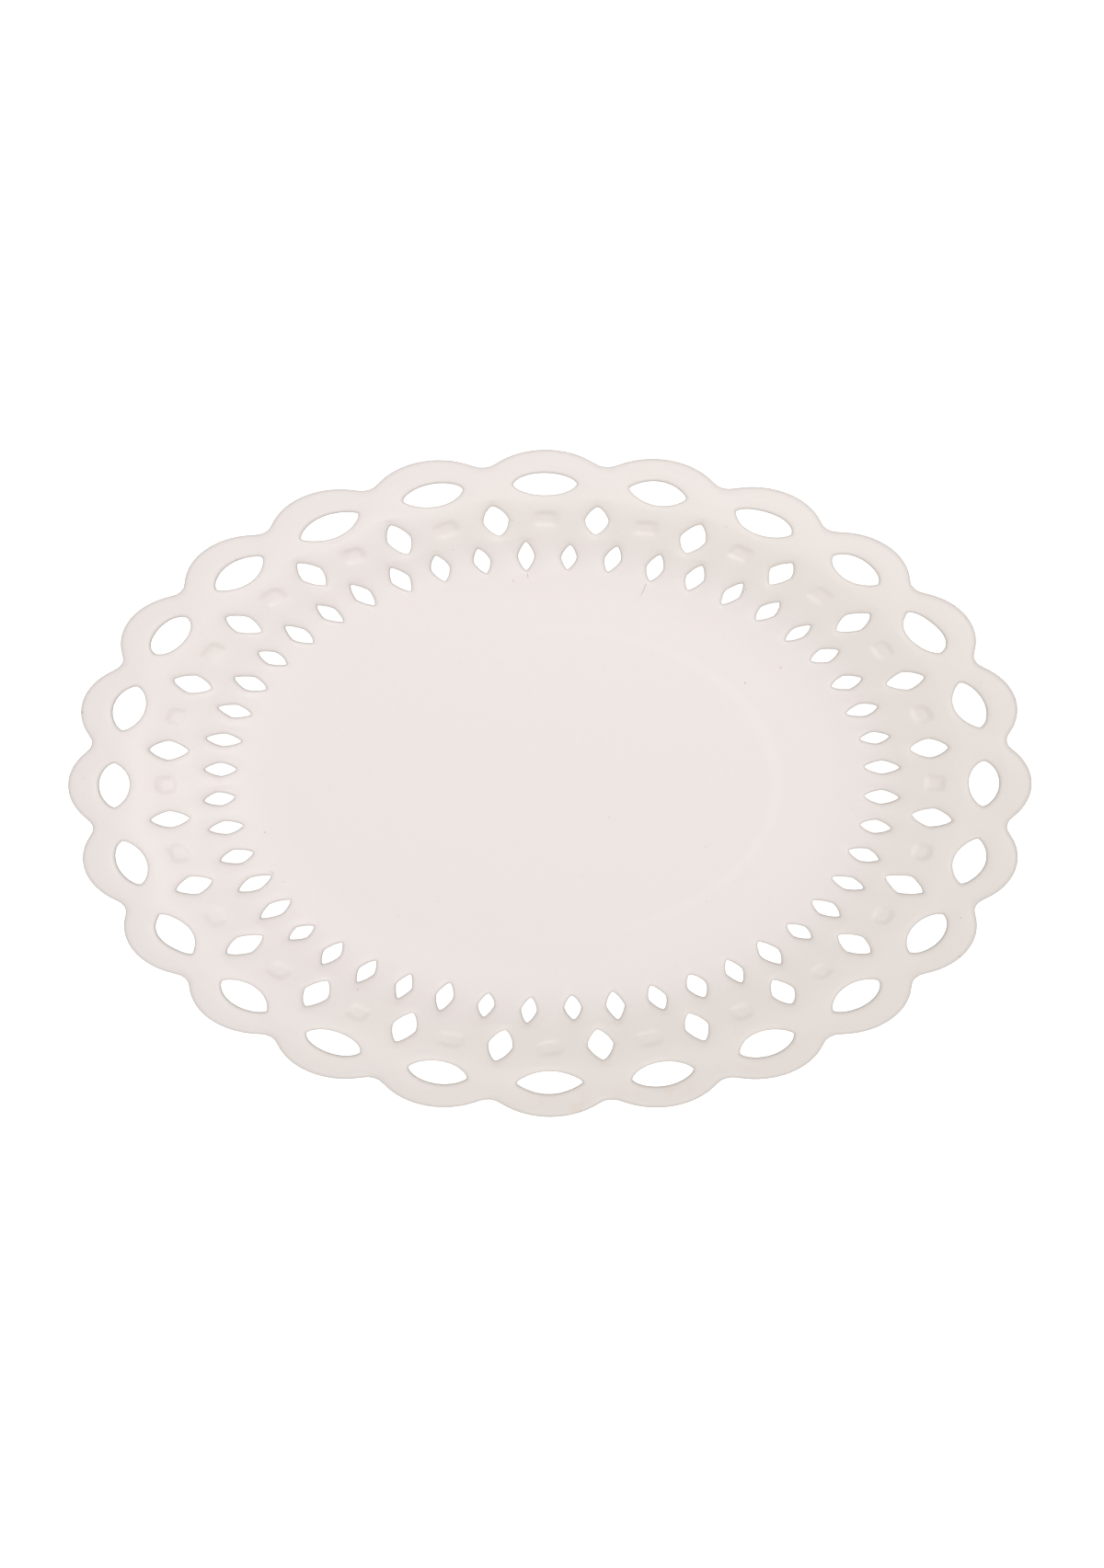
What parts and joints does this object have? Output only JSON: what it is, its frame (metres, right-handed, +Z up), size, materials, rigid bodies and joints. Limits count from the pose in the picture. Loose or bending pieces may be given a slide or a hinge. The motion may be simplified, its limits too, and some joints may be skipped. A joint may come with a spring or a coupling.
{
  "type": "pierced oval serving dish",
  "caption": "Oval glazed ceramic serving dish with a scalloped lace rim of pierced lens and diamond openings, standing on an oval foot ring.",
  "frame": {"origin": "centre of the standing edge of the foot, at the middle of the oval's length and width", "axes": "+X along the oval's long axis, +Y along its short axis, +Z up out of the well"},
  "size_m": [0.33, 0.2286, 0.0275],
  "materials": {
    "ivory_glaze": "smooth ivory-white glaze, satin gloss, rounded over every cut edge",
    "foot_biscuit": "glazed sides, with the standing edge wiped to bare fired clay"
  },
  "bodies": {
    "root": {"dish_body": "ivory_glaze", "foot_ring": "foot_biscuit"}
  },
  "joints": []
}
